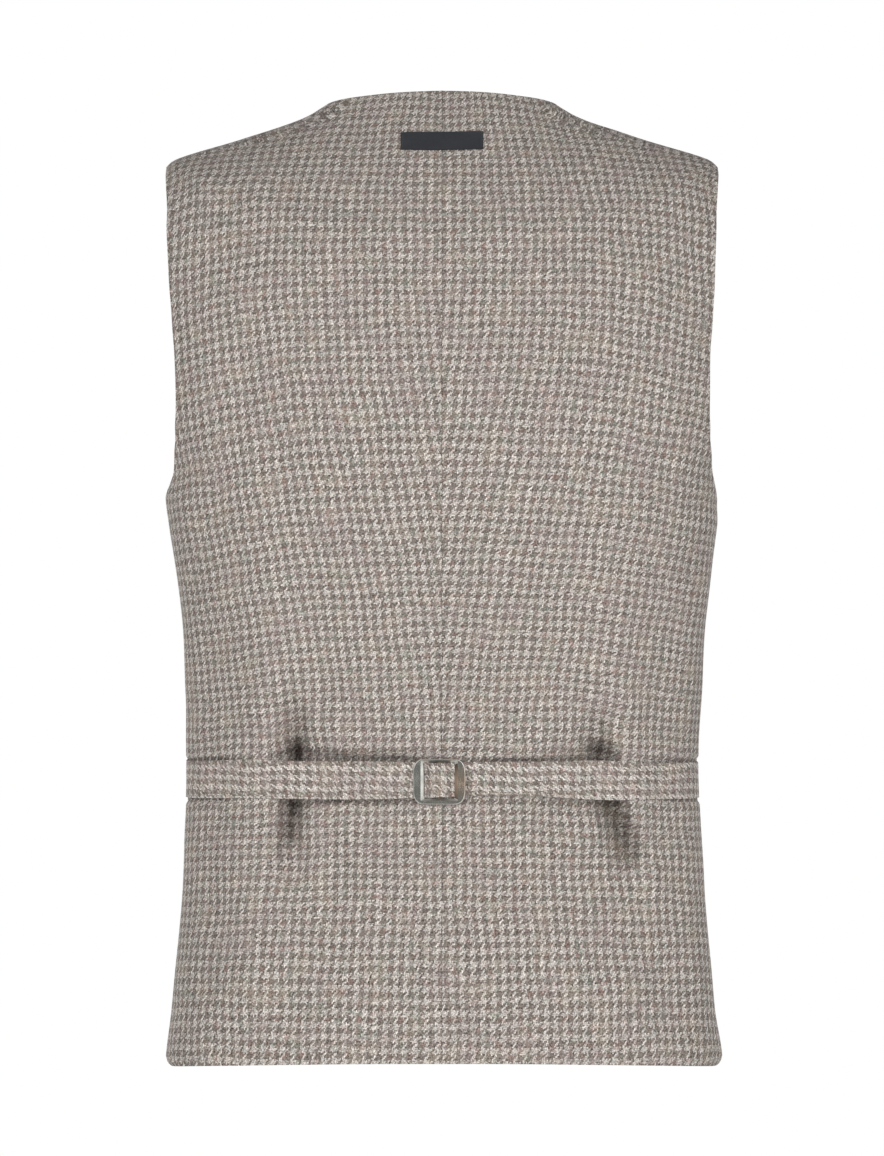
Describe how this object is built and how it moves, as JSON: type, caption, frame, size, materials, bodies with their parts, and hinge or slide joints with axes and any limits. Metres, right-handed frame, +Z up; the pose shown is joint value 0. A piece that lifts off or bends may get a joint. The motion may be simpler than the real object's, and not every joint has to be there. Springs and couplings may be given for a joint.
{
  "type": "suit waistcoat",
  "caption": "Sleeveless suit waistcoat in its worn form: seamed back with a strap and slide buckle at the waist, small bare label, plain fronts crossing below a V neck with buttons.",
  "frame": {"origin": "midway between the wearer's shoulders, level with the underside of the cloth half way along each shoulder", "axes": "+Z up, the wearer faces -Y, +X is the wearer's left"},
  "size_m": [0.348, 0.2482, 0.617],
  "materials": {
    "cloth": "soft woollen houndstooth in a two-and-two twill, pale grey and taupe melange",
    "strap": "the same houndstooth cut across the grain",
    "label": "matt dark woven label, bare",
    "buckle": "polished nickel",
    "button": "semi-gloss horn effect"
  },
  "bodies": {
    "root": {"back_left": "cloth", "back_right": "cloth", "front_left": "cloth", "front_right": "cloth", "strap_left": "strap", "strap_right": "strap", "label": "label", "buckle": "buckle", "button_1": "button", "button_2": "button", "button_3": "button", "button_4": "button", "button_5": "button"}
  },
  "joints": []
}
